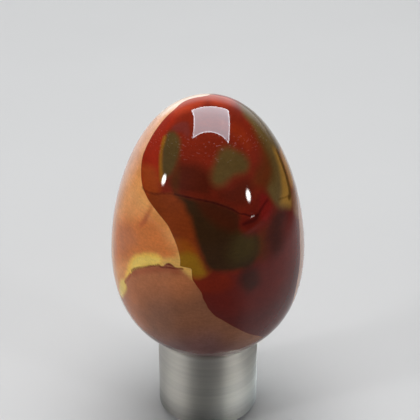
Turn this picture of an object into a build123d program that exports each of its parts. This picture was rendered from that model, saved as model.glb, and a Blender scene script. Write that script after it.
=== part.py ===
from build123d import *
import os

# Decorative stone egg standing on its blunt end in the mouth of a short metal tube.
# Millimetres, +Z up, origin on the floor at the centre of the tube's foot.

# Egg: one solid of polished stone
egg_height = 48.0
egg_diameter = 33.9
belly_height = 18.8  # widest ring, measured up from the egg's base
base_fullness = 0.40  # reach of the flat tangent at the blunt end, as a share of the egg's radius
tip_fullness = 0.70  # reach of the flat tangent at the tip, as a share of the egg's radius
flank_fullness = 0.83  # reach of the upright tangent under the belly, as a share of its height

# Stand: a length of turned tube
stand_diameter = 18.0
stand_wall = 1.5
stand_height = 15.6
rim_break = 0.3  # bevel round the outer edge of the mouth
foot_break = 0.4  # bevel round the outer edge of the foot
bore_break = 0.4  # bevel round the inner edge of the foot

# Seat: the band inside the mouth that is ground to the egg's own curve
rim_land = 0.4  # flat ring left between the seat and the outer bevel
seat_clearance = 0.1  # upright gap between the egg and its seat

# Sizes that follow from the ones above
egg_radius = egg_diameter / 2
stand_radius = stand_diameter / 2
bore_radius = stand_radius - stand_wall
seat_radius = stand_radius - rim_break - rim_land

# The tangent above the belly is as long as makes both halves of the profile bend alike there
base_flank = flank_fullness * belly_height
tip_flank = base_flank * ((1 - tip_fullness) / (1 - base_fullness)) ** 0.5

# The egg's profile in the XZ plane, with its base at the origin
belly = (egg_radius, 0, belly_height)
base_curve = Bezier(
    (0, 0, 0),
    (base_fullness * egg_radius, 0, 0),
    (egg_radius, 0, belly_height - base_flank),
    belly,
)
tip_curve = Bezier(
    belly,
    (egg_radius, 0, belly_height + tip_flank),
    (tip_fullness * egg_radius, 0, egg_height),
    (0, 0, egg_height),
)


def underside_height(radius):
    """Height of the egg's underside above its base, at a distance from the axis."""
    upright = Line((radius, 0, 0), (radius, 0, belly_height))
    return base_curve.find_intersection_points(upright)[0].Z


def make_egg():
    """The egg, standing so that its underside passes the rim at the seat's outer edge."""
    axis_line = Line(tip_curve @ 1, base_curve @ 0)
    half_section = make_face([base_curve, tip_curve, axis_line])
    egg_base = stand_height + seat_clearance - underside_height(seat_radius)
    return Pos(0, 0, egg_base) * revolve(half_section, Axis.Z)


def make_stand(egg):
    """The tube with its edges broken, and its seat cut by the egg lowered by the clearance."""
    outline = Polyline(
        (bore_radius, 0, stand_height),
        (bore_radius, 0, bore_break),
        (bore_radius + bore_break, 0, 0),
        (stand_radius - foot_break, 0, 0),
        (stand_radius, 0, foot_break),
        (stand_radius, 0, stand_height - rim_break),
        (stand_radius - rim_break, 0, stand_height),
        close=True,
    )
    tube = revolve(make_face(outline), Axis.Z)
    return tube - Pos(0, 0, -seat_clearance) * egg


egg = make_egg()
stand = make_stand(egg)

os.makedirs("parts", exist_ok=True)
for name, piece in {"egg": egg, "stand": stand}.items():
    export_step(piece, f"parts/{name}.step")
    print(name, round(piece.volume, 1), piece.bounding_box())
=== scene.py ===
import math

import bpy
import numpy as np
from bpy.props import FloatProperty, FloatVectorProperty, IntProperty, PointerProperty
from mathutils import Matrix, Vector


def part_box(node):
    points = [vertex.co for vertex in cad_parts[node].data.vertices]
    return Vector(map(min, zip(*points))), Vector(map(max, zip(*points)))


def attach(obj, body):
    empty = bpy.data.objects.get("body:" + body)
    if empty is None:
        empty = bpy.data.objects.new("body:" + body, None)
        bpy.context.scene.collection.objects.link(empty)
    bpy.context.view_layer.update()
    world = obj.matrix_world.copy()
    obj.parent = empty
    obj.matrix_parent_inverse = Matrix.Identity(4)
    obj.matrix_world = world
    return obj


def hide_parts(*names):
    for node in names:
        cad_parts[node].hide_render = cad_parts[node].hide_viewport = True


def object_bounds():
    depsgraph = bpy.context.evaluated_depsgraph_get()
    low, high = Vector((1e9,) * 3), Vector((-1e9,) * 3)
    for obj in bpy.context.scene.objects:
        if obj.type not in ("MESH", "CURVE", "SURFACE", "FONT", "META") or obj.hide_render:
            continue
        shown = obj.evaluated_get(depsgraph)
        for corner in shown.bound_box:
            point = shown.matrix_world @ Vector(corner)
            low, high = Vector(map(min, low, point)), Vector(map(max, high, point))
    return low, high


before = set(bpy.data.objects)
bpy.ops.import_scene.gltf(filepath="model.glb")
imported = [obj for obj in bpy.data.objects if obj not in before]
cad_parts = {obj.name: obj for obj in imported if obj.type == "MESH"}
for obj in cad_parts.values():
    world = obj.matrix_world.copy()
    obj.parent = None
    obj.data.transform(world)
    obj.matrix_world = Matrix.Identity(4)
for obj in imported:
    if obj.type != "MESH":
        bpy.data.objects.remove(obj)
cad_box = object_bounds()
egg_low, egg_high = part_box("egg")
stand_low, stand_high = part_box("stand")

bl_info = {
    "name": "Stone Egg on Tube Stand",
    "version": (1, 0, 0),
    "blender": (4, 5, 0),
    "location": "3D View > Sidebar > Stone Egg",
    "description": "Builds a polished stone egg, its turned tube stand and a soft studio stage",
    "category": "Add Mesh",
}

MM = 0.001

# Outlines of the stone's markings, as seen by someone walking round the egg: degrees round
# it from the front, to the right positive, and millimetres up from its base. Heights past
# the egg's own ends close an outline over the tip or under the base.
ABOVE_TIP = 60
BELOW_BASE = -20
PATCHES = {
    "pale_shoulder": [
        (-130, 46), (-95, 46), (-78, 45), (-71, 42), (-71, 39), (-77, 35), (-83, 28), (-105, 30),
        (-130, 36),
    ],
    "crown_cream": [
        (-88, 46.6), (-93, 45.2), (-104, 44.2), (-125, 43.8), (-150, 44.4), (-175, 45.4), (-195, 46.2),
        (-212, 45.6), (-216, 47), (-200, ABOVE_TIP), (-90, ABOVE_TIP),
    ],
    "pale_left": [
        (-64, 6), (-70, 16), (-75, 24), (-80, 31), (-88, 36), (-110, 37), (-115, 20), (-110, 5),
        (-80, 1),
    ],
    "pale_right": [
        (64, 33), (63, 24), (64, 14), (68, 5), (94, 4), (100, 12), (102, 24), (97, 33), (84, 35),
    ],
    "apricot_cloud": [
        (-74, 28), (-64, 29.6), (-54, 31), (-45, 32.4), (-36, 32.6), (-28, 31.4), (-22, 29.6),
        (-18, 27.6), (-19, 25), (-28, 25.8), (-40, 25), (-50, 23.4), (-60, 21), (-72, 20), (-78, 25),
    ],
    "blush_cloud": [
        (-67, 24.6), (-65, 27.4), (-58, 28.8), (-50, 28.8), (-47, 27), (-54, 25), (-60, 23.4),
    ],
    "yellow_band": [
        (-57, 18.2), (-54, 21), (-51.4, 23.2), (-48, 24.6), (-44, 25.4), (-38, 26.2), (-32, 26.7),
        (-28, 26.5), (-26, 25.7), (-26, 24.6), (-30, 22.5), (-45, 20.5), (-54, 17.6),
    ],
    "cream_core": [
        (-50, 22), (-48, 23.6), (-44, 24.7), (-38, 25.5), (-32, 26), (-28.5, 25.8), (-30, 25),
        (-36, 24.4), (-42, 23.3), (-46, 22.4),
    ],
    "flake": [
        (-16.5, 25.35), (-13, 26.4), (-7.6, 26.2), (-7, 23.2), (-9.2, 23.5), (-11.6, 24.2),
        (-14.5, 24.9),
    ],
    "seam_lip": [
        (-26.6, 24.9), (-24.8, 25.45), (-23.2, 25.75), (-21.2, 25.6), (-19, 25.15), (-21.4, 25.25),
        (-23, 25.3), (-24.8, 25.1),
    ],
    "pale_corner": [
        (-28.5, 24.4), (-27.6, 26), (-23, 26.7), (-19, 27.1), (-17, 27.9), (-14, 27.4), (-13, 25.2),
        (-16, 24.4),
    ],
    "yellow_spot": [
        (-68, 13.4), (-65, 16), (-61, 17.8), (-57.5, 18.4), (-55.2, 17.4), (-56.5, 16.1), (-60, 14.9),
        (-64, 13.5),
    ],
    "brown_ground": [
        (-200, 15.9), (-190, 14.2), (-180, 13), (-165, 12.4), (-150, 13), (-135, 14.2), (-120, 14),
        (-105, 12.4), (-94, 11.2), (-80, 11.4), (-70, 12.6), (-64, 13.9), (-60, 15), (-56.4, 16.4),
        (-55.8, 17.6), (-53.5, 19.2), (-51, 20.4), (-48, 21.6), (-45, 22.4), (-41, 23.1), (-37, 23.8),
        (-33, 24.4), (-28, 24.7), (-26, 25), (-24.4, 25.5), (-23, 25.65), (-21.4, 25.55),
        (-19.6, 25.25), (-17, 25.15), (-8, 25.2), (0, 23), (25, 17), (50, 11), (75, 9.5), (95, 10),
        (112, 12.4), (126, 15.6), (140, 17.4), (154, 16.8), (168, 14.4), (180, 13), (195, 12.4),
        (200, 12.5), (200, BELOW_BASE), (-200, BELOW_BASE),
    ],
    "tan_flank": [
        (-90, 22), (-40, 26), (-14, 26), (-4, 24), (-6, 21.4), (-16, 19.8), (-34, 18), (-44, 14),
        (-52, 8), (-90, 6),
    ],
    # Painted shade as well as a purplish-brown tint: the egg's underside near the stand is darkened
    "foot_tint_and_shade": [
        (-240, 5), (-60, 5), (-32, 8.6), (-12, 11.4), (4, 12), (14, 9.6), (28, 5.5), (60, 3), (120, 5),
        (240, 5), (240, BELOW_BASE), (-240, BELOW_BASE),
    ],
    "red_field": [
        (-200, 47.2), (-180, 47.75), (-150, 47.8), (-125, 47.6), (-108, 47.2), (-96, 46.9), (-88, 46.6),
        (-84, 46.2), (-80, 45.4), (-77, 44.6), (-74, 43.4), (-72, 42.4), (-69.5, 41), (-68, 40.1),
        (-65, 39.2), (-61, 38.2), (-57, 37.2), (-53, 36.3), (-50, 35.8), (-46, 35.2), (-42, 34.6),
        (-38, 34.1), (-34, 33.5), (-30, 32.9), (-26, 32.1), (-23, 31.1), (-20.5, 30), (-18, 28.6),
        (-16.5, 27.3), (-16, 26.4), (-16, 25.75), (-15.8, 25.6), (-9.8, 25.4), (-9.1, 25.2),
        (-8.9, 24.2), (-8.5, 23.4), (-6.8, 22.6), (-4.8, 21.7), (-3.3, 20.9), (-2.4, 19.8), (-1, 18.9),
        (0.3, 18), (4, 16.4), (8, 15.4), (13, 14.1), (20, 12.3), (26, 10.8), (32, 9.6), (38, 8.4),
        (46, 6.8), (55, 6.3), (62, 7.5), (66, 10), (65.5, 13), (65.6, 15.4), (67, 17.4), (68.8, 19.4),
        (70, 21.4), (71, 23.6), (72.6, 25.2), (74, 26.8), (76, 28.2), (79.5, 29.4), (84, 30.4),
        (91, 31.4), (99, 33), (107, 35.4), (114, 38), (122, 41), (135, 44.2), (148, 46.3), (158, 47),
        (168, 47.4), (180, 47.75), (200, 47.8), (200, ABOVE_TIP), (-200, ABOVE_TIP),
    ],
    "deep_red": [
        (-30, 39), (-24, 41.4), (-10, 41.8), (0, 41), (4, 39), (1, 37.2), (-12, 37.4), (-26, 37.6),
    ],
    "brown_tail": [
        (-31, 41.4), (-27, 42.4), (-24, 41), (-21.5, 38.6), (-22, 37.4), (-27, 37.6), (-30.5, 39),
    ],
    "orange_shoulder": [
        (-84, 46.7), (-70, 46.9), (-60, 46.2), (-54, 44.4), (-50, 42.8), (-45, 41), (-40, 39.6),
        (-37, 38), (-39, 36.6), (-50, 36), (-60, 38), (-70, 41), (-77, 44.4),
    ],
    "orange_low": [
        (-63, 38.8), (-50, 39.6), (-42, 39), (-36, 37.6), (-38, 35.4), (-46, 35.2), (-56, 37),
    ],
    "orange_crown": [
        (27, 46.6), (32, 45.9), (44, 46), (51, 44.8), (48, 43.2), (42, 42.8), (38.5, 43.6), (33, 44.6),
    ],
    # Painted highlight as well as red stone: the bright red round the tip also stands in for the
    # softbox's sheen there
    "tip_red_and_sheen": [
        (-240, 46.2), (-150, 46.4), (-120, 46.2), (-95, 46), (-80, 46.1), (-68, 46.5), (-50, 47.6),
        (-30, 48.4), (30, 48.4), (55, 47.8), (80, 47.4), (108, 47), (130, 46.6), (150, 46.2),
        (180, 46.2), (240, 46.2), (240, ABOVE_TIP), (-240, ABOVE_TIP),
    ],
    "deep_right": [
        (4, 38.4), (14, 38.4), (24, 39.2), (33, 39.2), (35, 37.4), (28, 35.6), (20, 35.4), (10, 36.4),
    ],
    "purple_streak": [
        (-53, 45.4), (-46, 46.2), (-34, 46.4), (-25, 45.6), (-24, 44.9), (-34, 45.3), (-44, 45),
    ],
    "maroon_flank": [
        (-11, 24.2), (-4, 24.3), (4, 24.7), (12, 24.5), (18, 24), (24, 25.4), (32, 26), (37, 28),
        (40, 31), (50, 32), (60, 31.4), (78, 31), (78, 4), (40, 4), (0, 14),
    ],
    "red_cheek": [
        (-10, 23.7), (-2, 24.4), (6, 24.7), (12, 24.4), (15.5, 23), (12, 21.6), (4, 21), (-4, 21.2),
    ],
    "maroon_low": [
        (-2, 18.5), (10, 17), (24, 16.4), (40, 17), (55, 19), (70, 21), (70, 6), (40, 5), (16, 11),
    ],
    "rust_band": [
        (-44, 36.2), (-38, 36.4), (-30, 37), (-24, 37.2), (-18, 36.9), (-13, 35.8), (-9.5, 34.4),
        (-7, 33), (-5, 31.6), (-3.4, 30.1), (-1.4, 28.6), (1, 27.2), (3, 25.3), (0, 24), (-6, 23.3),
        (-12, 24), (-20, 27), (-30, 32), (-42, 34),
    ],
    "rust_low": [(-21, 29.6), (-14, 30.2), (-8, 29.2), (-6.5, 27.6), (-12, 26.6), (-18, 26.8)],
    "gold_tail": [
        (-18, 27.2), (-12, 28.2), (-7, 27.8), (-4.4, 26.8), (-2.4, 25.6), (-1, 24.5), (-3, 24.1),
        (-8, 24), (-12, 24.6), (-18, 25.4),
    ],
    "dark_olive": [
        (-24, 37.2), (-15, 37.05), (-5, 36.8), (5, 36.3), (12, 35.6), (18, 34.8), (21.5, 33.8),
        (21, 32), (24, 31), (29, 31), (32.5, 29.8), (32.5, 27.4), (28, 25.4), (20, 24.8), (10, 24.8),
        (2.6, 25), (-0.6, 25.9), (-3, 27.4), (-4.5, 28.8), (-6.5, 30.3), (-8.2, 31.8), (-10.2, 33.2),
        (-13, 34.6), (-17, 35.9), (-21, 36.7),
    ],
    "dark_red_veil": [(-8, 36.8), (5, 36.3), (16, 35), (20.5, 33.6), (17, 31.4), (8, 32.4), (-3, 34.6)],
    "green_patch": [
        (12, 27.6), (15, 29.6), (20, 30.8), (28, 30.4), (32.5, 28.8), (30, 27), (23, 26.2), (16, 26.2),
    ],
    "green_haze": [(30.5, 26.6), (31, 29.4), (34, 31), (38.6, 30.4), (39, 27.6), (35, 25.8)],
    "low_shadow": [
        (18, 22.6), (19, 24), (24, 24.8), (29.5, 24.2), (31.5, 22.4), (30, 20.9), (25, 20.3), (20, 21),
    ],
    "right_shadow": [
        (38, 28.4), (40.4, 31), (44, 32.4), (51, 33), (59, 32), (57.4, 30), (53.6, 28.8), (51.4, 27.6),
        (49, 25.8), (41, 25.8),
    ],
    "olive_lens": [
        (-53.5, 44.6), (-46, 45), (-40, 44.9), (-34, 44.5), (-30, 43.7), (-28, 42.5), (-28.5, 41.3),
        (-30, 40.3), (-32.5, 39.2), (-36, 38.8), (-39, 39.6), (-43, 40.8), (-47, 42.1), (-50.5, 43.3),
    ],
    "olive_blob": [
        (2.8, 40.2), (5, 41.4), (9, 42.9), (14, 43.6), (22, 43.8), (29, 43.4), (34, 42.7), (37, 41.7),
        (36.6, 40.7), (33, 40), (27, 39.9), (21, 39.8), (16, 39.3), (12, 38.8), (7, 38.8), (3.6, 39.3),
    ],
    "brown_haze": [
        (36, 38.2), (40, 39.6), (50, 40.6), (58, 42.4), (62, 44.4), (68, 44), (68, 41), (64, 38.6),
        (56, 36.8), (44, 36.6),
    ],
    "right_olive": [
        (46.5, 36.4), (50, 37.4), (56, 38.4), (60, 40), (63, 42), (67, 44.4), (75, 46), (90, 46.5),
        (112, 46.3), (128, 44.8), (126, 42), (112, 39.2), (98, 38.6), (86, 38.8), (80, 38.8),
        (76, 37.5), (73, 34.5), (70, 32), (66, 31.2), (60, 31.8), (54, 32.6), (50, 33.6), (47, 35.2),
    ],
    "gold_streak": [
        (56, 33), (59, 34), (62.4, 35), (65.2, 36.2), (68.2, 37.6), (71.4, 39.2), (76, 40.4),
        (78, 39.4), (75, 36.5), (72, 34.2), (70, 32.4), (67, 31.4), (61, 32),
    ],
    "right_tan": [
        (75.5, 34), (77.4, 36), (79.4, 37.8), (83, 38.8), (90, 39), (100, 38.8), (112, 39.4), (118, 38),
        (106, 34), (92, 32), (80, 31.4),
    ],
    "right_brown": [
        (69, 29.6), (71, 32), (74.4, 33), (80, 33.2), (90, 33.4), (99, 33.4), (92, 30.6), (78, 27.4),
    ],
    "crimson_bruise": [
        (20.5, 33.2), (25, 34.2), (30, 34.8), (34, 35.8), (39, 36.6), (44, 36.4), (47.5, 35), (48, 33),
        (44, 31.6), (38, 30.8), (32, 30.2), (26, 30.2), (21, 31.4),
    ],
    "crimson_vein": [
        (36.5, 34.4), (38, 35.4), (40.5, 36), (44, 35.7), (46, 34.6), (46.6, 33.6), (45.5, 32.6),
        (42.5, 32.2), (39, 31.8), (36.6, 32.4),
    ],
    "pit_shade": [(23, 32.2), (26, 32.9), (30, 33), (34, 33.3), (34.5, 32.6), (29, 32), (25, 31.9)],
    "back_cloud": [(-172, 33), (-152, 37), (-128, 36), (-112, 29), (-122, 22), (-148, 20), (-168, 24)],
    "back_flame": [
        (102, 39), (110, 31), (119, 25.4), (129, 21), (140, 15), (150, 14), (156, 18), (154, 24),
        (156, 29), (163, 34), (174, 38.6), (188, 42), (198, 45.4), (176, 47.2), (140, 46.4),
        (114, 43.4),
    ],
    "back_rust": [
        (148, 14), (150, 20), (149, 25), (152, 30.4), (160, 36), (172, 40.4), (184, 43.6), (193, 44.4),
        (184, 40.6), (170, 36.4), (160, 31.4), (156, 26), (158, 18), (154, 13),
    ],
    "back_core": [
        (115, 35), (122, 29.6), (131, 25.4), (139, 21), (146, 19.6), (147, 25), (148.4, 30.6),
        (155, 36), (163, 40), (158, 43), (138, 42), (122, 39.4),
    ],
    "back_yellow": [
        (-168, 11.6), (-162, 14.4), (-152, 15.4), (-140, 16.4), (-126, 16.6), (-114, 15), (-106, 12.8),
        (-112, 11.4), (-150, 11),
    ],
}

# Fine lines in the stone: half their width in millimetres, and the points they run through
LINES = {
    "pink_vein": (0.32, [(-40.5, 34), (-41.2, 33), (-42.6, 32), (-44, 31.1), (-46, 30.4)]),
    "seam": (0.17, [
        (-49.4, 21.3), (-49, 21.7), (-46, 22.4), (-43, 22.95), (-40, 23.4), (-36, 24.05), (-32, 24.5),
        (-29.6, 24.9), (-28, 24.65), (-25.5, 24.8), (-21.5, 24.95), (-17, 25.1), (-14.5, 25.15),
    ]),
    "seam_end": (0.3, [(-56.3, 18), (-55.2, 18.7), (-53.6, 19.3), (-52, 19.9), (-51, 20.5)]),
    "seam_blush": (0.5, [(-48, 21.2), (-43, 22.2), (-36, 23.3), (-30, 24.1), (-24, 24.6), (-18, 24.5)]),
    "back_seam": (0.17, [
        (-170, 12.5), (-165, 12.4), (-158, 12.8), (-150, 13), (-143, 13.7), (-135, 14.2), (-128, 14),
        (-120, 14), (-112, 13.1), (-105, 12.4),
    ]),
    "back_vein": (0.24, [
        (-178, 39.6), (-170, 36.2), (-160, 33.6), (-150, 31.4), (-141, 29.8), (-131, 27.6),
        (-120, 26.4), (-111, 24),
    ]),
    "lens_rim": (0.3, [
        (-54, 43.9), (-50.5, 43), (-46.5, 41.6), (-42.5, 40.4), (-39, 39.3), (-37.5, 38.4),
    ]),
    "crack": (0.12, [
        (-24, 37.1), (-14, 37), (-5, 36.75), (3, 36.4), (8, 36), (12, 35.6), (17, 35), (21, 34.2),
        (25, 33.9), (28, 33.5), (31, 33.2), (34, 33.2),
    ]),
    "crack_arm": (0.16, [
        (23, 32.4), (26, 32.5), (29.5, 32.5), (32.5, 32.7), (34.9, 33.3), (37.5, 33.9), (40.5, 34.4),
        (44, 34.8),
    ]),
    "crack_end": (0.14, [
        (-53, 36.2), (-50, 35.9), (-44, 36), (-39, 36.2), (-35, 36.6), (-30, 36.9), (-24, 37.1),
    ]),
    "pit_floor": (0.12, [(27.4, 33), (29.4, 33.15), (31.6, 33.3)]),
    "dark_streak": (0.5, [
        (67.4, 32.7), (70, 32.8), (72.3, 34), (74.4, 35.6), (75.8, 37), (77.2, 38.4), (79.5, 39.6),
    ]),
    "olive_vein": (0.15, [(54, 33.9), (58, 33.7), (62, 33.4), (66, 33.1), (69, 32.8)]),
}

# How the markings lie over the ground and over each other: the colour of each, the width of
# its edge in millimetres, how opaque it is, and the marking that it stays within. The line
# pit_floor has no colour: the stone's roughness reads it.
LAYERS = [
    ("pale_shoulder", "pale", 6.0, 0.95, None),
    ("crown_cream", "crown_cream", 2.4, 0.95, None),
    ("pale_right", "pale_pink", 5.0, 1.0, None),
    ("apricot_cloud", "apricot", 4.0, 1.0, None),
    ("blush_cloud", "blush", 3.0, 0.8, None),
    ("back_cloud", "apricot", 6.0, 0.8, None),
    ("back_vein", "blush_deep", 0.8, 0.7, None),
    ("back_yellow", "yellow", 1.4, 0.9, None),
    ("back_flame", "red", 0.2, 1.0, None),
    ("back_rust", "rust", 0.8, 1.0, "back_flame"),
    ("back_core", "dark_olive", 2.0, 0.9, "back_flame"),
    ("pink_vein", "blush_deep", 1.1, 0.7, None),
    ("yellow_band", "yellow", 1.1, 1.0, None),
    ("cream_core", "cream", 0.9, 0.9, None),
    ("pale_corner", "flake", 1.2, 0.9, None),
    ("brown_ground", "brown", 0.3, 1.0, None),
    ("tan_flank", "tan", 7.0, 1.0, "brown_ground"),
    # Painted shade with a purplish tint, darkening the egg's underside near the stand
    ("foot_tint_and_shade", "dusky", 7.0, 1.0, "brown_ground"),
    ("seam_blush", "seam_pale", 1.2, 0.6, "brown_ground"),
    ("pale_left", "pale_pink", 6.0, 0.4, None),
    ("yellow_spot", "cream", 1.1, 1.0, None),
    ("flake", "flake", 1.1, 0.95, None),
    ("seam", "seam", 0.3, 0.9, None),
    ("seam_lip", "seam", 0.25, 0.9, None),
    ("seam_end", "seam_pale", 0.4, 0.9, None),
    ("back_seam", "seam", 0.3, 0.85, None),
    ("red_field", "red", 0.15, 1.0, None),
    ("deep_red", "deep_red", 2.4, 1.0, "red_field"),
    ("deep_right", "deep_red", 2.4, 0.8, "red_field"),
    ("orange_shoulder", "orange_red", 1.8, 1.0, "red_field"),
    ("orange_low", "burnt_orange", 2.0, 1.0, "red_field"),
    ("orange_crown", "burnt_red", 2.0, 0.9, "red_field"),
    # Painted highlight as well as red stone: the softbox's sheen round the tip
    ("tip_red_and_sheen", "ember", 2.4, 1.0, "red_field"),
    ("purple_streak", "purple", 0.9, 0.7, "red_field"),
    ("maroon_flank", "maroon", 1.6, 1.0, "red_field"),
    ("maroon_low", "plum", 5.0, 1.0, "red_field"),
    ("red_cheek", "red", 1.8, 1.0, "red_field"),
    ("rust_band", "rust", 0.7, 1.0, "red_field"),
    ("rust_low", "amber", 2.0, 1.0, "red_field"),
    ("dark_olive", "dark_olive", 1.5, 1.0, "red_field"),
    ("dark_red_veil", "deep_red", 2.0, 0.6, "red_field"),
    ("green_patch", "green", 3.4, 0.9, "red_field"),
    ("green_haze", "umber", 3.0, 0.55, "red_field"),
    ("gold_tail", "gold", 1.5, 0.9, "red_field"),
    ("low_shadow", "shadow", 2.4, 0.8, "red_field"),
    ("right_shadow", "shadow", 3.6, 0.72, "red_field"),
    ("brown_tail", "umber", 1.4, 0.5, "red_field"),
    ("olive_lens", "lens_olive", 1.2, 1.0, "red_field"),
    ("lens_rim", "gold", 0.8, 0.65, "red_field"),
    ("olive_blob", "olive", 2.0, 1.0, "red_field"),
    ("right_olive", "grey_olive", 2.0, 1.0, "red_field"),
    ("brown_haze", "umber", 2.4, 0.6, "red_field"),
    ("right_tan", "drab", 1.4, 1.0, "red_field"),
    ("right_brown", "nut", 1.4, 1.0, "red_field"),
    ("gold_streak", "dull_gold", 2.2, 1.0, "red_field"),
    ("dark_streak", "streak", 0.6, 1.0, "red_field"),
    ("olive_vein", "umber", 0.4, 0.6, "red_field"),
    ("crimson_bruise", "crimson", 1.8, 0.7, "red_field"),
    ("crimson_vein", "crimson_bright", 1.0, 0.75, "red_field"),
    ("crack_end", "deep_red", 0.35, 0.75, None),
    ("crack", "pit", 0.3, 0.85, "red_field"),
    ("crack_arm", "pit", 0.7, 0.8, "red_field"),
    # Painted shadow under the crack and the pit
    ("pit_shade", "pit", 1.2, 0.45, "red_field"),
]

# The softbox overhead, in metres: its level, its corners, and how far the side that starts at
# each corner bows inwards. Then the two lamps beside the camera, with their watts.
SOFTBOX_LEVEL = 0.50
SOFTBOX_SIDES = [
    ((-0.20, -0.147), 0.068), ((0.30, -0.177), 0.008), ((0.259, 0.46), -0.004), ((-0.20, 0.378), 0.04),
]
LAMPS = [((-0.566, -0.230, 0.223), 0.95), ((0.510, -0.338, 0.161), 0.6)]
LAMP_RADIUS = 0.045

# The even light that falls from the softbox: the middle it shines from, its width and its watts.
# Then how bright the camera sees the surround, and how far the floor reaches.
OVERHEAD_MIDDLE = (0.005, 0.10)
OVERHEAD_WIDTH = 0.42
OVERHEAD_WATTS = 2.5
BACKDROP = 0.68
FLOOR_RADIUS = 0.7

# How brightly reflections see each light in its middle and at its edge, how much of its width
# the even middle takes up, and its tint
SOFTBOX_GLOW = (10.5, 30.0)
SOFTBOX_MIDDLE = 0.92
SOFTBOX_TINT = (0.80, 0.94, 1.02)
LAMP_GLOW = (62.0, 0.0)
LAMP_MIDDLE = 0.28
LAMP_TINT = (1.0, 0.98, 0.93)

# Markings are measured no further than this from their edge, in millimetres
MARKING_REACH = 9.0

# Steps along each half of the egg's profile, how much wider the pit is than tall, and the bend
# from which an edge of the stand stays sharp
PROFILE_STEPS = 256
PIT_WIDTH_TO_HEIGHT = 1.7
CREASE_ANGLE = math.radians(6)


def linear(code):
    """A colour given as a six-digit web code, in the linear values that shaders use."""
    shares = [int(code[i:i + 2], 16) / 255 for i in (0, 2, 4)]
    return [s / 12.92 if s <= 0.04045 else ((s + 0.055) / 1.055) ** 2.4 for s in shares]


def length(name, default, description):
    """A size property in metres."""
    return FloatProperty(
        name=name, description=description, default=default, min=0, subtype="DISTANCE", unit="LENGTH",
    )


def share(name, default, description):
    """A property that runs from nothing to all."""
    return FloatProperty(
        name=name, description=description, default=default, min=0, max=1, subtype="FACTOR",
    )


def colour(name, code, description):
    """A colour property."""
    return FloatVectorProperty(
        name=name, description=description, default=linear(code), size=3, min=0, max=1, subtype="COLOR",
    )


class EggShape(bpy.types.PropertyGroup):
    """Sizes of the stone egg"""

    height: length("Height", egg_high.z - egg_low.z, "Base to tip")
    diameter: length("Diameter", egg_high.x - egg_low.x, "Across the belly")
    base_level: length("Base Level", egg_low.z, "Height of the egg's base above the floor")
    belly_height: length("Belly Height", 18.8 * MM, "Widest ring above the egg's base")
    base_fullness: share("Base Fullness", 0.40, "Reach of the flat tangent at the blunt end")
    tip_fullness: share("Tip Fullness", 0.70, "Reach of the flat tangent at the tip")
    flank_fullness: share("Flank Fullness", 0.83, "Reach of the upright tangent under the belly")
    pit_azimuth: FloatProperty(
        name="Pit Azimuth", description="Where the small pit lies round the egg, from the front",
        default=math.radians(30), subtype="ANGLE", unit="ROTATION",
    )
    pit_height: length("Pit Height", 33.5 * MM, "Height of the pit above the egg's base")
    pit_radius: length("Pit Radius", 1.0 * MM, "Half the pit's width")
    pit_depth: length("Pit Depth", 0.04 * MM, "Depth of the pit")
    segments: IntProperty(name="Segments", description="Faces round the egg", default=300, min=3)
    rings: IntProperty(name="Rings", description="Faces from base to tip", default=300, min=3)


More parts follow.
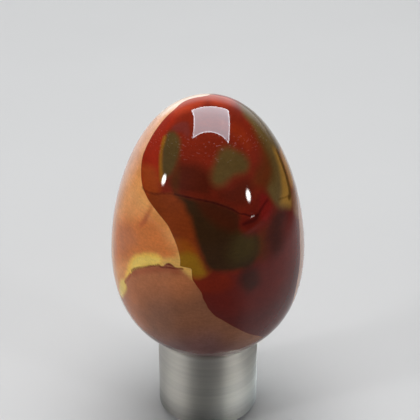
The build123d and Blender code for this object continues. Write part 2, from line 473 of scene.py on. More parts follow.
class StoneColours(bpy.types.PropertyGroup):
    """Colours of the stone's markings"""

    peach: colour("Peach", "F5AF6A", "Ground of the upper left and the back")
    pale: colour("Pale Peach", "ECB89C", "Paler shoulder on the left")
    crown_cream: colour("Crown Cream", "FBE2CE", "Nearly white edge behind the tip")
    pale_pink: colour("Pale Pink", "C8A08E", "Strip of the ground on the right")
    apricot: colour("Apricot", "DB7C3B", "Warmer cloud in the peach")
    blush: colour("Blush", "C87648", "Pinker cloud in the peach")
    blush_deep: colour("Deep Blush", "B4502F", "Faint vein in the peach")
    yellow: colour("Yellow", "FFCB59", "Band over the brown ground")
    cream: colour("Cream", "FFDA6E", "Middle of the yellow band, and its spot")
    flake: colour("Flake", "ECB862", "Pale corner between the band and the main field")
    brown: colour("Brown", "8A5940", "Dusty ground round the base")
    tan: colour("Tan", "BA7046", "Left flank of the brown ground")
    # Painted shade as well as the stone's purplish-brown tint: darkens the egg's underside near the stand
    dusky: colour("Dusky", "71504C", "Brown ground near the base")
    seam: colour("Seam", "701E12", "Line under the yellow band")
    seam_pale: colour("Pale Seam", "AA5030", "Ends of that line, and the tint under it")
    red: colour("Red", "7C2412", "Main field")
    deep_red: colour("Deep Red", "561C0C", "Darker middle of the main field")
    orange_red: colour("Orange Red", "9A2206", "Left shoulder of the main field")
    # Painted highlight as well as the stone's red: part of its brightness stands in for the softbox's
    # sheen round the tip
    ember: colour("Ember", "B03A1C", "Bright red round the tip")
    burnt_orange: colour("Burnt Orange", "9A3E14", "Lower end of the left shoulder")
    burnt_red: colour("Burnt Red", "8C2C10", "Right of the tip")
    purple: colour("Purple", "72302A", "Streak above the left olive patch")
    maroon: colour("Maroon", "6A2119", "Lower part of the main field")
    plum: colour("Plum", "5C2420", "Lowest part of the main field")
    rust: colour("Rust", "883A16", "Band beside the dark patch")
    amber: colour("Amber", "9C4E10", "Lower end of the rust band")
    gold: colour("Gold", "9A6E16", "Tail of the rust band, and the rim of the left olive patch")
    olive: colour("Olive", "5E4824", "Right one of the two green-brown patches near the tip")
    lens_olive: colour("Lens Olive", "554120", "Left one of those patches")
    grey_olive: colour("Grey Olive", "68522E", "Green-brown patch on the right")
    dull_gold: colour("Dull Gold", "A87A32", "Streak on the right")
    nut: colour("Nut", "8E5C3C", "Foot of the brown edge on the right")
    drab: colour("Drab", "AE7A3C", "Brown edge on the right")
    dark_olive: colour("Dark Olive", "3C2614", "Dark patch in the middle")
    green: colour("Green", "4A3A18", "Greener part of the dark patch")
    shadow: colour("Shadow", "36190C", "Two dark spots in the maroon")
    umber: colour("Umber", "54320E", "Thin brown veins and hazes")
    streak: colour("Streak", "64400C", "Dark streak beside the gold one")
    crimson: colour("Crimson", "6A1C14", "Bruise round the pit")
    crimson_bright: colour("Bright Crimson", "821C18", "Veins in the bruise")
    # Painted shade as well as the crack's own colour: through pit_shade it paints the shadow under the
    # crack and the pit
    pit: colour("Pit", "340B0B", "Inside the pit, and the crack that runs from it")


class StandShape(bpy.types.PropertyGroup):
    """Sizes and colour of the tube stand"""

    height: length("Height", stand_high.z - stand_low.z, "Foot to rim")
    diameter: length("Diameter", stand_high.x - stand_low.x, "Outside of the tube")
    wall: length("Wall", 1.5 * MM, "Thickness of the tube")
    rim_break: length("Rim Break", 0.3 * MM, "Bevel round the outside of the rim")
    foot_break: length("Foot Break", 0.4 * MM, "Bevel round the outside of the foot")
    bore_break: length("Bore Break", 0.4 * MM, "Bevel round the inside of the foot")
    rim_land: length("Rim Land", 0.4 * MM, "Flat ring between the seat and the bevel")
    edge_round: length("Edge Round", 0.06 * MM, "Rounding of every corner of the section")
    segments: IntProperty(name="Segments", description="Faces round the tube", default=256, min=3)
    metal: colour("Metal", "F8F6F0", "Bare turned metal")


class StageSetup(bpy.types.PropertyGroup):
    """Floor, light and camera"""

    floor: colour("Floor", "D4D5D6", "Plain pale floor")
    camera_distance: length("Camera Distance", 283.8 * MM, "From the middle of the stand's foot")
    camera_offset: length("Camera Offset", 0.38 * MM, "How far the camera stands to the right")
    camera_elevation: FloatProperty(
        name="Camera Elevation", description="Height angle of the camera over the stand's foot",
        default=math.radians(38.29), subtype="ANGLE", unit="ROTATION",
    )
    camera_pitch: FloatProperty(
        name="Camera Pitch", description="How far the camera looks down",
        default=math.radians(31.25), subtype="ANGLE", unit="ROTATION",
    )
    lens: FloatProperty(
        name="Lens", description="Focal length", default=129.1, min=1,
        subtype="DISTANCE_CAMERA", unit="CAMERA",
    )


class StoneEggSettings(bpy.types.PropertyGroup):
    """Everything that the panel shows"""

    egg: PointerProperty(type=EggShape, name="Egg", description="Sizes of the egg")
    stone: PointerProperty(type=StoneColours, name="Stone", description="Colours of the stone")
    stand: PointerProperty(type=StandShape, name="Stand", description="Sizes of the stand")
    stage: PointerProperty(type=StageSetup, name="Stage", description="Floor, light and camera")


# Building blocks for node trees


def add(tree, kind, inputs=None, **settings):
    """A new node with its settings, and its inputs by name or place, linked where a socket is given."""
    node = tree.nodes.new(kind)
    for name, value in settings.items():
        setattr(node, name, value)
    for key, value in (inputs or {}).items():
        socket = node.inputs[key]
        if isinstance(value, bpy.types.NodeSocket):
            tree.links.new(value, socket)
        else:
            socket.default_value = value
    return node


def sum_up(tree, operation, *values, family="ShaderNodeMath"):
    """The result of a math node on sockets or plain numbers."""
    node = add(tree, family, dict(enumerate(values)), operation=operation)
    return node.outputs["Vector" if "Vector" in node.outputs and node.outputs["Vector"].enabled else 0]


def times(tree, product, *values):
    """Sockets or plain numbers multiplied with each other."""
    for value in values:
        product = sum_up(tree, "MULTIPLY", product, value)
    return product


def place(tree, x=0.0, y=0.0, z=0.0):
    """A vector socket from its three parts."""
    return add(tree, "ShaderNodeCombineXYZ", {"X": x, "Y": y, "Z": z}).outputs[0]


def split(tree, vector):
    """The three parts of a vector socket, by name."""
    return add(tree, "ShaderNodeSeparateXYZ", {0: vector}).outputs


def geometry_tree(name, sizes):
    """A geometry tree with a named input for each size, and the sockets that bring them in."""
    tree = bpy.data.node_groups.new(name, "GeometryNodeTree")
    tree.interface.new_socket("Geometry", in_out="OUTPUT", socket_type="NodeSocketGeometry")
    for label, value in sizes.items():
        kind = "NodeSocketInt" if isinstance(value, int) else "NodeSocketFloat"
        tree.interface.new_socket(label, in_out="INPUT", socket_type=kind)
    return tree, add(tree, "NodeGroupInput").outputs


def close_tree(tree, geometry, material):
    """Ends a geometry tree with real faces that carry the material."""
    real = add(tree, "GeometryNodeRealizeInstances", {"Geometry": geometry})
    dressed = add(tree, "GeometryNodeSetMaterial", {"Geometry": real.outputs[0], "Material": material})
    add(tree, "NodeGroupOutput", {"Geometry": dressed.outputs[0]})


def grow(name, tree, sizes, material):
    """A plain mesh object made by a geometry tree at the given sizes."""
    seed = bpy.data.objects.new(name, bpy.data.meshes.new(name))
    bpy.context.scene.collection.objects.link(seed)
    modifier = seed.modifiers.new("Shape", "NODES")
    modifier.node_group = tree
    for socket in tree.interface.items_tree:
        if socket.in_out == "INPUT":
            modifier[socket.identifier] = sizes[socket.name]
    evaluated = seed.evaluated_get(bpy.context.evaluated_depsgraph_get())
    seed.data = bpy.data.meshes.new_from_object(evaluated)
    seed.data.name = name
    seed.modifiers.remove(modifier)
    seed.data.materials.clear()
    seed.data.materials.append(material)
    seed.data.polygons.foreach_set("material_index", [0] * len(seed.data.polygons))
    return seed


def shader_group(name, inputs, outputs):
    """A shader node group with named value inputs and outputs, and its own in and out nodes."""
    tree = bpy.data.node_groups.new(name, "ShaderNodeTree")
    for label, value in inputs.items():
        socket = tree.interface.new_socket(label, in_out="INPUT", socket_type="NodeSocketFloat")
        socket.default_value = value
    for label in outputs:
        tree.interface.new_socket(label, in_out="OUTPUT", socket_type="NodeSocketFloat")
    return tree, add(tree, "NodeGroupInput").outputs


def new_material(name):
    """A node material with its shader, ready for links."""
    material = bpy.data.materials.new(name)
    material.use_nodes = True
    return material, material.node_tree, material.node_tree.nodes["Principled BSDF"]


def use(tree, group, **values):
    """A placed shader group with its inputs set."""
    inputs = {name.replace("_", " "): value for name, value in values.items()}
    return add(tree, "ShaderNodeGroup", inputs, node_tree=group)


def own_spot(tree):
    """Where a point of a surface lies in its own object."""
    return add(tree, "ShaderNodeTexCoord").outputs["Object"]


def drawn_out(tree, spot, squeeze):
    """Places squeezed level, which draws a texture out round the object."""
    return add(tree, "ShaderNodeMapping", {"Vector": spot, "Scale": (squeeze, squeeze, 1.0)}).outputs[0]


def noise(tree, vector, scale, detail=3.0, roughness=0.55):
    """The grey value of a noise texture."""
    inputs = {"Vector": vector, "Scale": scale, "Detail": detail, "Roughness": roughness}
    return add(tree, "ShaderNodeTexNoise", inputs).outputs[0]


def mix(tree, factor, first, second, blend="MIX"):
    """Two colours mixed."""
    node = add(tree, "ShaderNodeMix", {0: factor}, data_type="RGBA", blend_type=blend)
    for socket, value in ((node.inputs[6], first), (node.inputs[7], second)):
        if isinstance(value, bpy.types.NodeSocket):
            tree.links.new(value, socket)
        else:
            socket.default_value = (*value, 1)
    return node.outputs[2]


def toned(tree, tint, tone):
    """A colour made lighter or darker by a tone."""
    grey = add(tree, "ShaderNodeCombineColor", {0: tone, 1: tone, 2: tone}).outputs[0]
    return mix(tree, 1.0, tint, grey, "MULTIPLY")


def ramp(tree, value, low, high, to_low=0.0, to_high=1.0):
    """A value carried smoothly from one range to another."""
    inputs = {"Value": value, "From Min": low, "From Max": high, "To Min": to_low, "To Max": to_high}
    return add(tree, "ShaderNodeMapRange", inputs, interpolation_type="SMOOTHSTEP").outputs[0]


# Shared surface effects


def patch_edge_group():
    """Turns the depth inside a marking into a mask, whose edge wanders more where it is softer."""
    tree, given = shader_group("patch_edge", {"Depth": 0.0, "Softness": 1.0, "Strength": 1.0}, ["Mask"])
    spot = own_spot(tree)
    grain = sum_up(tree, "DIVIDE", 900.0, sum_up(tree, "ADD", given["Softness"], 0.7))
    wander = sum_up(tree, "SUBTRACT", noise(tree, spot, grain, 4.0), 0.5)
    reach = sum_up(tree, "MULTIPLY_ADD", given["Softness"], 0.5, 0.05)
    depth = sum_up(tree, "MULTIPLY_ADD", wander, reach, given["Depth"])
    half = times(tree, given["Softness"], 0.5)
    mask = ramp(tree, depth, times(tree, half, -1.0), half)
    add(tree, "NodeGroupOutput", {"Mask": times(tree, mask, given["Strength"])})
    return tree


def handling_group():
    """Faint smears and hairline marks that touching and wiping leave on a bright surface."""
    tree, given = shader_group(
        "handling_marks", {
            "Roughness": 0.1, "Smear": 0.02, "Smear Size": 120.0, "Nicks": 0.2, "Nick Level": 0.0,
        }, ["Roughness"],
    )
    spot = own_spot(tree)
    smear = sum_up(tree, "SUBTRACT", noise(tree, spot, given["Smear Size"], 5.0, 0.65), 0.5)
    worn = sum_up(tree, "MULTIPLY_ADD", smear, given["Smear"], given["Roughness"])
    level = drawn_out(tree, spot, 0.35)
    nicks = ramp(tree, noise(tree, level, 4200, 1.0), 0.60, 0.68)

    # The nicks keep to a band that starts at the given level
    past = sum_up(tree, "SUBTRACT", split(tree, spot)["Z"], given["Nick Level"])
    start = ramp(tree, past, 0.0, 2 * MM)
    end = ramp(tree, past, 3.5 * MM, 5 * MM, 1.0, 0.0)
    nicks = times(tree, nicks, start, end, given["Nicks"])
    add(tree, "NodeGroupOutput", {"Roughness": sum_up(tree, "ADD", worn, nicks)})
    return tree


# The egg


def egg_tangents(shape):
    """Lengths of the profile's tangents: flat at the base and tip, upright below and above the belly."""
    radius = shape.diameter / 2
    below = shape.flank_fullness * shape.belly_height
    above = below * math.sqrt((1 - shape.tip_fullness) / (1 - shape.base_fullness))
    return shape.base_fullness * radius, shape.tip_fullness * radius, below, above


def egg_profile(shape, steps=400):
    """Radius and height of points from the egg's base to its tip, in metres."""
    radius, belly = shape.diameter / 2, shape.belly_height
    base, tip, below, above = egg_tangents(shape)
    low = [(0, 0), (base, 0), (radius, belly - below), (radius, belly)]
    high = [(radius, belly), (radius, belly + above), (tip, shape.height), (0, shape.height)]
    t = np.linspace(0, 1, steps)[:, None]
    halves = []
    for a, b, c, d in (np.array(low), np.array(high)):
        halves.append((1 - t) ** 3 * a + 3 * (1 - t) ** 2 * t * b + 3 * (1 - t) * t ** 2 * c + t ** 3 * d)
    return np.vstack([halves[0], halves[1][1:]])


def egg_tree(sizes, material):
    """Wraps a ball's faces onto the egg: its profile is two curves that bend alike at the belly."""
    tree, size = geometry_tree("egg_of_revolution", sizes)

    def corner(radius, *heights):
        level = size["Base Level"]
        for height in heights:
            level = sum_up(tree, "ADD", level, height)
        return place(tree, x=radius, z=level)

    radius = times(tree, size["Diameter"], 0.5)
    below = times(tree, size["Lower Flank"], -1.0)
    belly = corner(radius, size["Belly Height"])
    base_curve = add(tree, "GeometryNodeCurvePrimitiveBezierSegment", {
        "Resolution": PROFILE_STEPS,
        "Start": corner(0.0),
        "Start Handle": corner(size["Base Tangent"]),
        "End Handle": corner(radius, size["Belly Height"], below),
        "End": belly,
    }).outputs[0]
    tip_curve = add(tree, "GeometryNodeCurvePrimitiveBezierSegment", {
        "Resolution": PROFILE_STEPS,
        "Start": belly,
        "Start Handle": corner(radius, size["Belly Height"], size["Upper Flank"]),
        "End Handle": corner(size["Tip Tangent"], size["Height"]),
        "End": corner(0.0, size["Height"]),
    }).outputs[0]

    ball = add(tree, "GeometryNodeMeshUVSphere", {
        "Segments": size["Segments"], "Rings": size["Rings"], "Radius": 1.0,
    }).outputs["Mesh"]
    spot = split(tree, add(tree, "GeometryNodeInputPosition").outputs[0])
    climb = sum_up(tree, "DIVIDE", sum_up(tree, "ARCSINE", spot["Z"]), math.pi / 2)
    turn = sum_up(tree, "ARCTAN2", spot["X"], times(tree, spot["Y"], -1.0))

    # Faces crowd together round the pit, so that its edge is drawn by real ones
    past_pit = sum_up(tree, "SUBTRACT", turn, size["Pit Azimuth"])
    crowd = times(tree, sum_up(tree, "SINE", past_pit), size["Crowding"])
    turn = sum_up(tree, "SUBTRACT", turn, crowd)

    low = add(tree, "GeometryNodeSampleCurve", {
        "Curves": base_curve, "Factor": sum_up(tree, "ADD", climb, 1.0),
    }, mode="FACTOR").outputs["Position"]
    high = add(tree, "GeometryNodeSampleCurve", {"Curves": tip_curve, "Factor": climb}, mode="FACTOR")
    on_tip = sum_up(tree, "GREATER_THAN", climb, 0.0)
    profile = add(tree, "GeometryNodeSwitch", {
        "Switch": on_tip, "False": low, "True": high.outputs["Position"],
    }, input_type="VECTOR").outputs[0]
    ring = split(tree, profile)
    out = times(tree, ring["X"], sum_up(tree, "SINE", turn))
    front = times(tree, ring["X"], sum_up(tree, "COSINE", turn), -1.0)
    body = add(tree, "GeometryNodeSetPosition", {
        "Geometry": ball, "Position": place(tree, out, front, ring["Z"]),
    }).outputs[0]

    # The pit is a shallow level groove pressed in along the surface's own normal
    centre = place(tree, size["Pit X"], size["Pit Y"], size["Pit Z"])
    here = add(tree, "GeometryNodeInputPosition").outputs[0]
    offset = sum_up(tree, "SUBTRACT", here, centre, family="ShaderNodeVectorMath")
    flattened = (1.0, 1.0, PIT_WIDTH_TO_HEIGHT)
    offset = sum_up(tree, "MULTIPLY", offset, flattened, family="ShaderNodeVectorMath")
    away = add(tree, "ShaderNodeVectorMath", {0: offset}, operation="LENGTH").outputs["Value"]
    dish = add(tree, "ShaderNodeMapRange", {
        "Value": away, "From Min": 0.0, "From Max": size["Pit Radius"],
        "To Min": times(tree, size["Pit Depth"], -1.0), "To Max": 0.0,
    }, interpolation_type="SMOOTHERSTEP").outputs[0]
    inward = add(tree, "ShaderNodeVectorMath", {
        0: add(tree, "GeometryNodeInputNormal").outputs[0], "Scale": dish,
    }, operation="SCALE").outputs[0]
    pitted = add(tree, "GeometryNodeSetPosition", {"Geometry": body, "Offset": inward}).outputs[0]
    smooth = add(tree, "GeometryNodeSetShadeSmooth", {"Geometry": pitted}).outputs[0]
    close_tree(tree, smooth, material)
    return tree


def smooth_outline(points, steps=4, degree=0.25):
    """A closed curve through an outline's points that never swings past them."""
    p = np.array(points, float)
    after = np.roll(p, -1, axis=0)
    gap = np.hypot((after - p)[:, 0] * degree, (after - p)[:, 1])[:, None]
    gap_before = np.roll(gap, 1, axis=0)
    slope = (after - np.roll(p, 1, axis=0)) / (gap + gap_before) * np.minimum(gap, gap_before)
    off_egg = (p[:, 1] == ABOVE_TIP) | (p[:, 1] == BELOW_BASE)
    slope[off_egg | np.roll(off_egg, 1) | np.roll(off_egg, -1)] = 0
    slope_after = np.roll(slope, -1, axis=0)
    t = (np.arange(steps) / steps)[:, None, None]
    curve = (
        (2 * t ** 3 - 3 * t ** 2 + 1) * p + (t ** 3 - 2 * t ** 2 + t) * slope
        + (3 * t ** 2 - 2 * t ** 3) * after + (t ** 3 - t ** 2) * slope_after
    )
    return curve.transpose(1, 0, 2).reshape(-1, 2)


def distance_from(starts, ends, azimuth, climb, radius, climb_at):
    """How far points of the egg lie from a row of segments in millimetres, and if it encloses them."""
    nearest = np.full(len(azimuth), np.inf)
    inside = np.zeros(len(azimuth), bool)
    for (a0, h0), (a1, h1) in zip(starts, ends):
        x0, y0 = np.radians(a0 - azimuth) * radius, climb_at(h0) - climb
        x1, y1 = np.radians(a1 - azimuth) * radius, climb_at(h1) - climb
        dx, dy = x1 - x0, y1 - y0
        along = np.clip(-(x0 * dx + y0 * dy) / np.maximum(dx * dx + dy * dy, 1e-12), 0, 1)
        nearest = np.minimum(nearest, np.hypot(x0 + along * dx, y0 + along * dy))
        crosses = (y0 > 0) != (y1 > 0)
        with np.errstate(divide="ignore", invalid="ignore"):
            inside ^= crosses & (x0 - y0 * dx / dy > 0)
    return nearest, inside


def store_markings(piece, shape):
    """Keeps on the egg's points how deep they lie in each marking, for its material to read."""
    profile = egg_profile(shape) / MM
    steps = np.hypot(*np.diff(profile, axis=0).T)
    walked = np.concatenate([[0], np.cumsum(steps)])

    def climb_at(height):
        past = np.clip(height - shape.height / MM, 0, None) + np.clip(height, None, 0)
        return np.interp(height, profile[:, 1], walked) + past

    points = np.empty(3 * len(piece.data.vertices))
    piece.data.vertices.foreach_get("co", points)
    points = points.reshape(-1, 3)
    azimuth = np.degrees(np.arctan2(points[:, 0], -points[:, 1]))
    radius = np.hypot(points[:, 0], points[:, 1]) / MM
    climb = climb_at((points[:, 2] - shape.base_level) / MM)

    def keep(name, starts, ends, depth_of):
        levels = climb_at(np.array(starts)[:, 1])
        near = (climb > levels.min() - MARKING_REACH) & (climb < levels.max() + MARKING_REACH)
        depth = np.full(len(points), -MARKING_REACH)
        passes_back = np.abs(np.array(starts)[:, 0]).max() > 180
        for lap in (-360, 0, 360) if passes_back else (0,):
            far_and_inside = distance_from(
                starts, ends, azimuth[near] + lap, climb[near], radius[near], climb_at
            )
            depth[near] = np.maximum(depth[near], depth_of(*far_and_inside))
        attribute = piece.data.attributes.new(name, "FLOAT", "POINT")
        attribute.data.foreach_set("value", depth.astype(np.float32))

    for name, outline in PATCHES.items():
        curve = smooth_outline(outline)
        keep(name, curve, np.roll(curve, -1, axis=0), lambda far, inside: np.where(inside, far, -far))
    for name, (half_width, line) in LINES.items():
        keep(name, line[:-1], line[1:], lambda far, inside: half_width - far)


def stone_material(colours, patch_edge, handling):
    """Polished stone: a peach ground with the markings laid over it one by one."""
    material, tree, shader = new_material("banded_jasper")
    spot = own_spot(tree)
    masks = {}
    warmth = ramp(tree, noise(tree, spot, 120, 3.0), 0.35, 0.7, 0, 0.5)
    field = mix(tree, warmth, colours.peach, colours.apricot)
    for name, tint, softness, strength, within in LAYERS:
        depth = add(tree, "ShaderNodeAttribute", attribute_name=name).outputs["Fac"]
        mask = use(tree, patch_edge, Depth=depth, Softness=softness, Strength=strength).outputs[0]
        if within:
            mask = times(tree, mask, masks[within])
        masks[name] = mask
        field = mix(tree, mask, field, getattr(colours, tint))

    # Fine grain, and finer level streaks as the stone was laid down
    flat = drawn_out(tree, spot, 0.25)
    grain = ramp(tree, noise(tree, spot, 2600, 2.0), 0.25, 0.75, 0.93, 1.07)
    streaks = ramp(tree, noise(tree, flat, 2600, 3.0), 0.25, 0.75, 0.94, 1.06)
    clouds = ramp(tree, noise(tree, spot, 320, 3.0), 0.25, 0.75, 0.92, 1.08)
    field = toned(tree, field, times(tree, grain, streaks, clouds))
    tree.links.new(field, shader.inputs["Base Color"])
    wear = use(
        tree, handling, Roughness=0.045, Smear=0.03, Smear_Size=150.0, Nicks=0.4, Nick_Level=54.6 * MM,
    )
    depth = add(tree, "ShaderNodeAttribute", attribute_name="pit_floor").outputs["Fac"]
    unpolished = use(tree, patch_edge, Depth=depth, Softness=0.3, Strength=0.3).outputs[0]
    rough = sum_up(tree, "ADD", wear.outputs["Roughness"], unpolished)
    tree.links.new(rough, shader.inputs["Roughness"])
    shader.inputs["IOR"].default_value = 1.54
    shader.inputs["Specular IOR Level"].default_value = 0.3
    return material


class MakeStoneEgg(bpy.types.Operator):
    """Build the polished stone egg"""

    bl_idname = "stone_egg.make_egg"
    bl_label = "Make Egg"

    def execute(self, context):
        settings = context.scene.stone_egg
        shape = settings.egg
        base, tip, below, above = egg_tangents(shape)
        profile = egg_profile(shape)
        out = np.interp(shape.pit_height, profile[:, 1], profile[:, 0])
        sizes = {
            "Base Level": shape.base_level,
            "Height": shape.height,
            "Diameter": shape.diameter,
            "Belly Height": shape.belly_height,
            "Base Tangent": base,
            "Tip Tangent": tip,
            "Lower Flank": below,
            "Upper Flank": above,
            "Pit Azimuth": shape.pit_azimuth,
            "Pit X": out * math.sin(shape.pit_azimuth),
            "Pit Y": -out * math.cos(shape.pit_azimuth),
            "Pit Z": shape.base_level + shape.pit_height,
            "Pit Radius": shape.pit_radius,
            "Pit Depth": shape.pit_depth,
            "Crowding": 0.5,
            "Segments": shape.segments,
            "Rings": shape.rings,
        }
        material = stone_material(settings.stone, patch_edge_group(), handling_group())
        egg = grow("stone_egg", egg_tree(sizes, material), sizes, material)
        store_markings(egg, shape)
        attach(egg, "egg")
        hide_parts("egg")
        return {"FINISHED"}


# The stand


def stand_tree(sizes, material):
    """Sweeps the tube's section round a circle, with each of its corners slightly rounded."""
    tree, size = geometry_tree("tube_of_revolution", sizes)
    wall = size["Wall"]
    foot = size["Height"]
    inner_foot = sum_up(tree, "SUBTRACT", foot, size["Bore Break"])
    outer_foot = sum_up(tree, "SUBTRACT", foot, size["Foot Break"])
    seat_width = sum_up(
        tree, "SUBTRACT", sum_up(tree, "SUBTRACT", wall, size["Rim Break"]), size["Rim Land"]
    )
    # Corners from the seat over the rim, down the outside and up the bore: out from the bore,
    # and down from the rim
    corners = [
        (0.0, size["Seat Drop"]),
        (seat_width, 0.0),
        (sum_up(tree, "SUBTRACT", wall, size["Rim Break"]), 0.0),
        (wall, size["Rim Break"]),
        (wall, outer_foot),
        (sum_up(tree, "SUBTRACT", wall, size["Foot Break"]), foot),
        (size["Bore Break"], foot),
        (0.0, inner_foot),
    ]
    row = add(tree, "GeometryNodeMeshLine", {"Count": len(corners)}).outputs[0]
    dots = add(tree, "GeometryNodeMeshToPoints", {"Mesh": row}).outputs[0]
    pick = add(tree, "GeometryNodeIndexSwitch", data_type="VECTOR")
    while len(pick.index_switch_items) < len(corners):
        pick.index_switch_items.new()
    tree.links.new(add(tree, "GeometryNodeInputIndex").outputs[0], pick.inputs["Index"])
    for number, (out, down) in enumerate(corners):
        tree.links.new(place(tree, out, down), pick.inputs[str(number)])
    placed = add(tree, "GeometryNodeSetPosition", {
        "Geometry": dots, "Position": pick.outputs[0],
    }).outputs[0]
    line = add(tree, "GeometryNodePointsToCurves", {"Points": placed}).outputs[0]
    loop = add(tree, "GeometryNodeSetSplineCyclic", {"Geometry": line, "Cyclic": True}).outputs[0]
    section = add(tree, "GeometryNodeFilletCurve", {
        "Curve": loop, "Count": 4, "Radius": size["Edge Round"], "Limit Radius": True,
    }, mode="POLY").outputs[0]
    bore = sum_up(tree, "SUBTRACT", times(tree, size["Diameter"], 0.5), wall)
    circle = add(tree, "GeometryNodeCurvePrimitiveCircle", {
        "Resolution": size["Segments"], "Radius": bore,
    }, mode="RADIUS").outputs[0]
    tube = add(tree, "GeometryNodeCurveToMesh", {"Curve": circle, "Profile Curve": section}).outputs[0]
    raised = add(tree, "GeometryNodeSetPosition", {
        "Geometry": tube, "Offset": place(tree, z=size["Height"]),
    }).outputs[0]
    smooth = add(tree, "GeometryNodeSetShadeSmooth", {"Geometry": raised}).outputs[0]
    bend = add(tree, "GeometryNodeInputMeshEdgeAngle").outputs["Unsigned Angle"]
    creased = add(tree, "GeometryNodeSetShadeSmooth", {
        "Geometry": smooth, "Shade Smooth": False,
        "Selection": sum_up(tree, "GREATER_THAN", bend, CREASE_ANGLE),
    }, domain="EDGE").outputs[0]
    close_tree(tree, creased, material)
    return tree


def metal_material(metal, handling):
    """Satin turned metal, with fine rings left by the tool, and painted shade that darkens it towards the
    foot.
    """
    material, tree, shader = new_material("turned_aluminium")
    spot = own_spot(tree)
    stretched = drawn_out(tree, spot, 0.02)
    rings = noise(tree, stretched, 6000, 4.0, 0.7)
    bands = noise(tree, stretched, 900, 3.0)
    tone = ramp(tree, bands, 0.25, 0.75, 0.93, 1.05)
    # Painted shade: the colour darkens over the lowest 6 mm, in place of the reflected shadow on the
    # floor at the foot
    painted_foot_shade = ramp(tree, split(tree, spot)["Z"], 0.0, 6 * MM, 0.58, 1.0)
    tree.links.new(toned(tree, metal, times(tree, tone, painted_foot_shade)), shader.inputs["Base Color"])
    wear = use(tree, handling, Roughness=0.70, Smear=0.08, Smear_Size=260.0, Nicks=0.1)
    grooved = sum_up(tree, "MULTIPLY_ADD", sum_up(tree, "SUBTRACT", rings, 0.5), 0.12, wear.outputs[0])
    tree.links.new(grooved, shader.inputs["Roughness"])
    bump = add(tree, "ShaderNodeBump", {"Height": rings, "Strength": 0.12, "Distance": 0.02 * MM})
    tree.links.new(bump.outputs[0], shader.inputs["Normal"])
    shader.inputs["Metallic"].default_value = 1.0
    shader.inputs["Specular Tint"].default_value = (0.55, 0.55, 0.55, 1.0)
    shader.inputs["Anisotropic"].default_value = 0.70
    shader.inputs["Anisotropic Rotation"].default_value = 0.25
    tangent = add(tree, "ShaderNodeTangent", direction_type="RADIAL", axis="Z")
    tree.links.new(tangent.outputs[0], shader.inputs["Tangent"])
    return material


class MakeTubeStand(bpy.types.Operator):
    """Build the turned tube that the egg stands in"""

    bl_idname = "stone_egg.make_stand"
    bl_label = "Make Stand"

    def execute(self, context):
        settings = context.scene.stone_egg
        shape = settings.stand
        profile = egg_profile(settings.egg)
        underside = profile[profile[:, 1] < settings.egg.belly_height]
        bore = shape.diameter / 2 - shape.wall
        seat = shape.diameter / 2 - shape.rim_break - shape.rim_land
        seat_drop = np.diff(np.interp([bore, seat], underside[:, 0], underside[:, 1]))[0]
        sizes = {
            "Height": shape.height,
            "Diameter": shape.diameter,
            "Wall": shape.wall,
            "Rim Break": shape.rim_break,
            "Foot Break": shape.foot_break,
            "Bore Break": shape.bore_break,
            "Rim Land": shape.rim_land,
            "Seat Drop": float(seat_drop),
            "Edge Round": shape.edge_round,
            "Segments": shape.segments,
        }
        material = metal_material(shape.metal, bpy.data.node_groups["handling_marks"])
        stand = grow("tube_stand", stand_tree(sizes, material), sizes, material)
        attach(stand, "stand")
        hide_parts("stand")
        return {"FINISHED"}


# The stage


def stage_mesh(name, points, faces, material):
    """A mesh of the stage, which is no piece of the object."""
    mesh = bpy.data.meshes.new(name)
    mesh.from_pydata(points, [], faces)
    mesh.materials.append(material)
    panel = bpy.data.objects.new(name, mesh)
    bpy.context.scene.collection.objects.link(panel)
    return panel


def room_shade(tree, way):
    """How bright reflections see the room: most at the back, least in front and far to the right."""
    parts = split(tree, way)
    front = ramp(tree, parts["Y"], -0.98, -0.66, 0.15, 0.7)
    behind = ramp(tree, parts["Y"], 0.2, 0.95, 0.0, 0.3)
    shade = sum_up(tree, "ADD", front, behind)
    far = ramp(tree, parts["Z"], -0.30, -0.20)
    side = ramp(tree, parts["X"], 0.35, 0.75)
    right = times(tree, side, ramp(tree, parts["Y"], 0.1, 0.5, 0.5, 0.9), far)
    return times(tree, shade, sum_up(tree, "SUBTRACT", 1.0, right))


def make_floor(tint):
    """A wide pale floor, slightly uneven in tone, whose colour reflections see darkened by painted shade
    as the room shades it.
    """
    material, tree, shader = new_material("pale_floor")
    spot = own_spot(tree)
    tone = ramp(tree, noise(tree, spot, 14, 3.0), 0.2, 0.8, 0.985, 1.015)
    middle = (0, 0, (cad_box[0].z + cad_box[1].z) / 2)
    below = sum_up(tree, "SUBTRACT", spot, middle, family="ShaderNodeVectorMath")
    level, down = [
        split(tree, sum_up(tree, "NORMALIZE", offset, family="ShaderNodeVectorMath"))
        for offset in (spot, below)
    ]
    way = place(tree, level["X"], level["Y"], down["Z"])
    # Painted shade: for reflections only, the floor's colour is darkened as room_shade dims the room in
    # that direction
    mirrored = add(tree, "ShaderNodeLightPath").outputs["Is Glossy Ray"]
    painted_reflection_shade = times(tree, mirrored, sum_up(tree, "SUBTRACT", 1.0, room_shade(tree, way)))
    tone = times(tree, tone, sum_up(tree, "SUBTRACT", 1.0, painted_reflection_shade))
    tree.links.new(toned(tree, tint, tone), shader.inputs["Base Color"])
    shader.inputs["Roughness"].default_value = 0.8
    shader.inputs["Specular IOR Level"].default_value = 0.0
    sides = range(96)
    turns = [2 * math.pi * i / len(sides) for i in sides]
    rim = [(FLOOR_RADIUS * math.cos(a), FLOOR_RADIUS * math.sin(a), 0) for a in turns]
    stage_mesh("floor", rim, [sides], material)


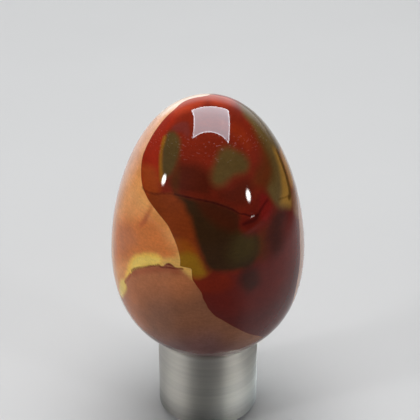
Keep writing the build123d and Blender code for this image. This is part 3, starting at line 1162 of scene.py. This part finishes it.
def glow_panel(name, outline, inset, middle, edge, tint):
    """A flat light that only reflections see, whose glow changes from its middle to its edge."""
    material = bpy.data.materials.new(name)
    material.use_nodes = True
    tree = material.node_tree
    tree.nodes.clear()
    rim = add(tree, "ShaderNodeAttribute", attribute_name="rim").outputs["Fac"]
    level = ramp(tree, rim, 0.0, 1.0, middle, edge)
    glow = add(tree, "ShaderNodeEmission", {"Color": (*tint, 1.0), "Strength": level})
    add(tree, "ShaderNodeOutputMaterial", {"Surface": glow.outputs[0]})
    centre = sum(outline, Vector((0, 0, 0))) / len(outline)
    inner = [centre + (point - centre) * inset for point in outline]
    count = len(outline)
    ring = [(i, (i + 1) % count, count + (i + 1) % count, count + i) for i in range(count)]
    panel = stage_mesh(name, outline + inner, [*ring, range(count, 2 * count)], material)
    at_rim = panel.data.attributes.new("rim", "FLOAT", "POINT")
    at_rim.data.foreach_set("value", [1.0] * count + [0.0] * count)
    panel.visible_camera = panel.visible_diffuse = panel.visible_shadow = False


def make_softbox():
    """The glow of the softbox overhead, with its bowed sides and its brighter rim."""
    outline = []
    for number, (corner, bow) in enumerate(SOFTBOX_SIDES):
        start, end = Vector(corner), Vector(SOFTBOX_SIDES[(number + 1) % len(SOFTBOX_SIDES)][0])
        inward = Vector((start.y - end.y, end.x - start.x)).normalized()
        bend = (start + end) / 2 + 2 * bow * inward
        for t in np.linspace(0, 1, 12, endpoint=False):
            point = (1 - t) ** 2 * start + 2 * t * (1 - t) * bend + t ** 2 * end
            outline.append(Vector((*point, SOFTBOX_LEVEL)))
    glow_panel("softbox", outline, SOFTBOX_MIDDLE, *SOFTBOX_GLOW, SOFTBOX_TINT)


def make_lamp(name, place_at, watts, target):
    """A round lamp beside the camera: its light, and the soft-edged glow that reflections see."""
    lamp = make_light(name, 2 * LAMP_RADIUS, watts, place_at, target)
    lamp.visible_glossy = False
    turn = lamp.rotation_euler.to_matrix()
    angles = np.linspace(0, 2 * math.pi, 48, endpoint=False)
    rim = [turn @ Vector((math.cos(a), math.sin(a), 0)) * LAMP_RADIUS + Vector(place_at) for a in angles]
    glow_panel(name + "_glow", rim, LAMP_MIDDLE, *LAMP_GLOW, LAMP_TINT)


def make_light(name, size, watts, place_at, target, shape="DISK"):
    """A soft lamp that faces a point."""
    light = bpy.data.lights.new(name, "AREA")
    light.shape, light.size, light.energy = shape, size, watts
    lamp = bpy.data.objects.new(name, light)
    lamp.location = place_at
    lamp.rotation_euler = (Vector(target) - Vector(place_at)).to_track_quat("-Z", "Y").to_euler()
    lamp.visible_camera = False
    bpy.context.scene.collection.objects.link(lamp)
    return lamp


def make_surround():
    """A white wall at the back, greyer ones at the sides, and a dim one behind the camera."""
    world = bpy.data.worlds.new("surround")
    world.use_nodes = True
    bpy.context.scene.world = world
    tree = world.node_tree
    tree.nodes.clear()
    way = add(tree, "ShaderNodeTexCoord").outputs["Generated"]
    parts = split(tree, way)
    up = parts["Z"]
    ceiling = ramp(tree, up, 0.3, 0.8, 0.27, 0.08)
    skirting = ramp(tree, up, 0.0, 0.3, 0.35, 1.0)
    walls = times(tree, room_shade(tree, way), ceiling, skirting)
    back = times(tree, ramp(tree, parts["Y"], 0.7, 0.95, 0.0, 1.1), ramp(tree, up, 0.3, 0.65, 1.0, 0.1))
    walls = sum_up(tree, "MAXIMUM", walls, back)
    seen = add(tree, "ShaderNodeLightPath").outputs["Is Camera Ray"]
    level = sum_up(tree, "MAXIMUM", walls, times(tree, seen, BACKDROP))
    glow = add(tree, "ShaderNodeBackground", {"Color": (0.99, 1.0, 1.0, 1.0), "Strength": level})
    add(tree, "ShaderNodeOutputWorld", {"Surface": glow.outputs[0]})


def make_camera(stage):
    """The camera at the photograph's angle."""
    data = bpy.data.cameras.new("camera")
    data.lens, data.sensor_width, data.clip_start = stage.lens, 36.0, 0.01
    camera = bpy.data.objects.new("camera", data)
    camera.location = (
        stage.camera_offset,
        -stage.camera_distance * math.cos(stage.camera_elevation),
        stage.camera_distance * math.sin(stage.camera_elevation),
    )
    camera.rotation_euler = (math.pi / 2 - stage.camera_pitch, 0, 0)
    bpy.context.scene.collection.objects.link(camera)
    bpy.context.scene.camera = camera


class MakeStage(bpy.types.Operator):
    """Set the floor, the light and the camera"""

    bl_idname = "stone_egg.make_stage"
    bl_label = "Make Stage"

    def execute(self, context):
        stage = context.scene.stone_egg.stage
        middle = (cad_box[0] + cad_box[1]) / 2
        make_floor(stage.floor)
        make_surround()
        make_softbox()
        above, under = (*OVERHEAD_MIDDLE, SOFTBOX_LEVEL), (*OVERHEAD_MIDDLE, 0)
        fill = make_light("overhead", OVERHEAD_WIDTH, OVERHEAD_WATTS, above, under, "SQUARE")
        fill.visible_glossy = False
        for number, (spot, watts) in enumerate(LAMPS):
            make_lamp(f"lamp_{number}", spot, watts, middle)
        make_camera(stage)
        view = context.scene.view_settings
        view.view_transform, view.look = "Standard", "None"
        return {"FINISHED"}


class StoneEggPanel(bpy.types.Panel):
    """Sizes, colours and buttons for the egg on its stand"""

    bl_idname = "VIEW3D_PT_stone_egg"
    bl_label = "Stone Egg"
    bl_space_type = "VIEW_3D"
    bl_region_type = "UI"
    bl_category = "Stone Egg"

    def draw(self, context):
        settings = context.scene.stone_egg
        steps = (
            (MakeStoneEgg, (settings.egg, settings.stone)),
            (MakeTubeStand, (settings.stand,)),
            (MakeStage, (settings.stage,)),
        )
        for operator, groups in steps:
            box = self.layout.box()
            for group in groups:
                for name in group.__annotations__:
                    box.prop(group, name)
            box.operator(operator.bl_idname)


CLASSES = (
    EggShape, StoneColours, StandShape, StageSetup, StoneEggSettings,
    MakeStoneEgg, MakeTubeStand, MakeStage, StoneEggPanel,
)


def register():
    for item in CLASSES:
        bpy.utils.register_class(item)
    bpy.types.Scene.stone_egg = PointerProperty(type=StoneEggSettings)


def unregister():
    del bpy.types.Scene.stone_egg
    for item in reversed(CLASSES):
        bpy.utils.unregister_class(item)


def main():
    register()
    bpy.ops.stone_egg.make_egg()
    bpy.ops.stone_egg.make_stand()
    bpy.ops.stone_egg.make_stage()


if __name__ == "__main__":
    main()
